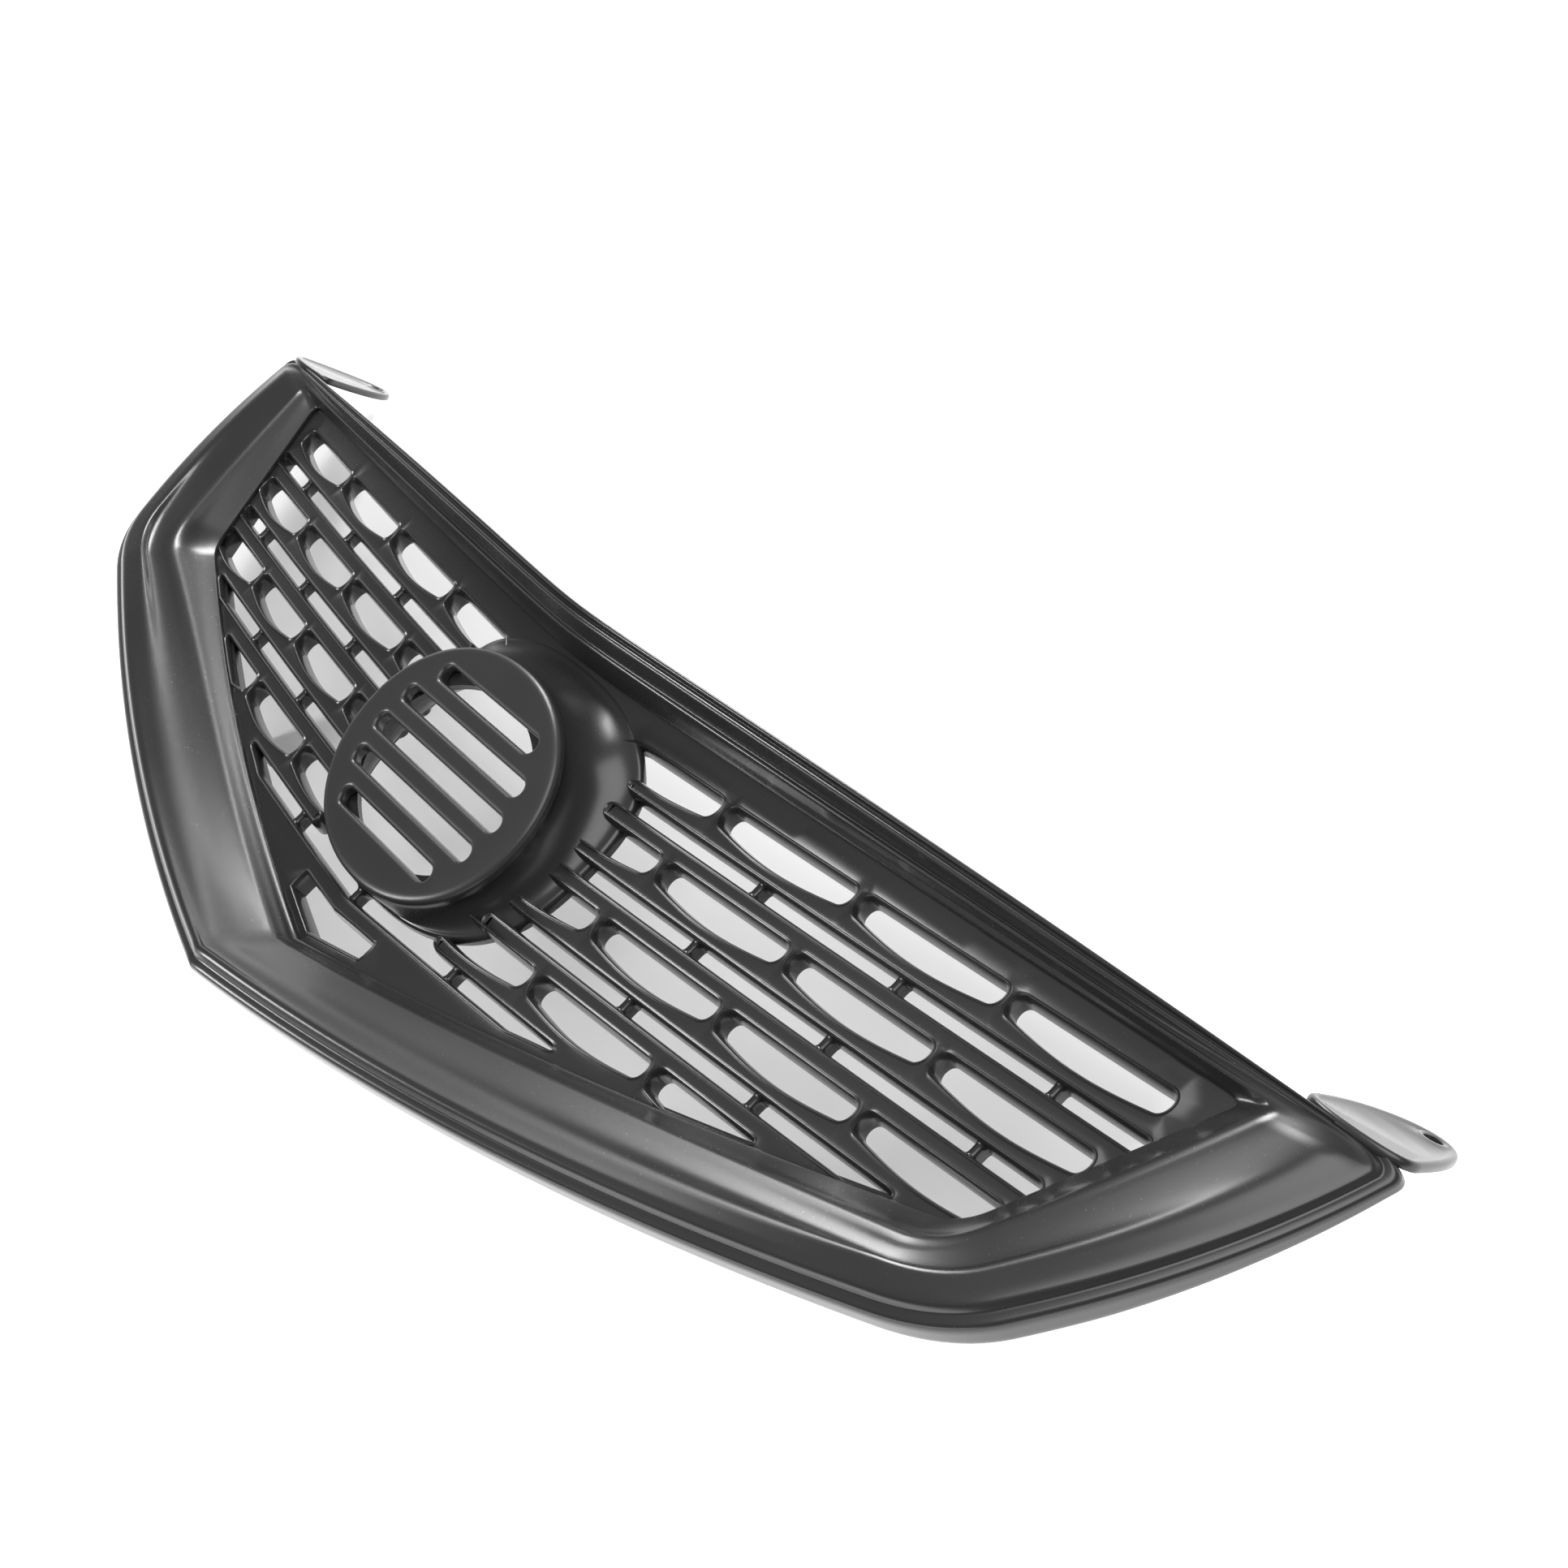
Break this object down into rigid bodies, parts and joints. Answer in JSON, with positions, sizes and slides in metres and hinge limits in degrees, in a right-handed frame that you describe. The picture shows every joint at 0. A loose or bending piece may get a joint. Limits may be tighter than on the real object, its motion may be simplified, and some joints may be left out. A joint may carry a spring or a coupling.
{
  "type": "front grille",
  "caption": "Wide front grille: deep swept surround, mesh of lens-shaped openings, raised oval badge plate on a pedestal, end ears and snap clips.",
  "frame": {"origin": "centre of the outline in front view, on the plane the grille rests on when it lies on its back, on its ear tips and lower clips", "axes": "+X across the car, +Y towards the bonnet edge, +Z out of the face towards the front of the car"},
  "size_m": [0.7482, 0.2436, 0.1099],
  "materials": {
    "gloss_black": "gloss",
    "spring_steel": "satin",
    "zinc_steel": "satin"
  },
  "bodies": {
    "root": {"surround_frame": "gloss_black", "mesh_insert": "gloss_black", "badge_pedestal": "gloss_black", "badge_plate": "gloss_black", "badge_nut_1": "spring_steel", "badge_nut_2": "spring_steel", "badge_nut_3": "spring_steel", "badge_nut_4": "spring_steel", "mesh_screw_1": "zinc_steel", "mesh_screw_2": "zinc_steel", "mesh_screw_3": "zinc_steel", "mesh_screw_4": "zinc_steel", "mesh_screw_5": "zinc_steel", "mesh_screw_6": "zinc_steel", "mesh_screw_7": "zinc_steel", "mesh_screw_8": "zinc_steel", "mesh_screw_9": "zinc_steel", "mesh_screw_10": "zinc_steel", "mesh_screw_11": "zinc_steel", "mesh_screw_12": "zinc_steel", "snap_clip_1": "spring_steel", "snap_clip_2": "spring_steel", "snap_clip_3": "spring_steel", "snap_clip_4": "spring_steel"}
  },
  "joints": []
}
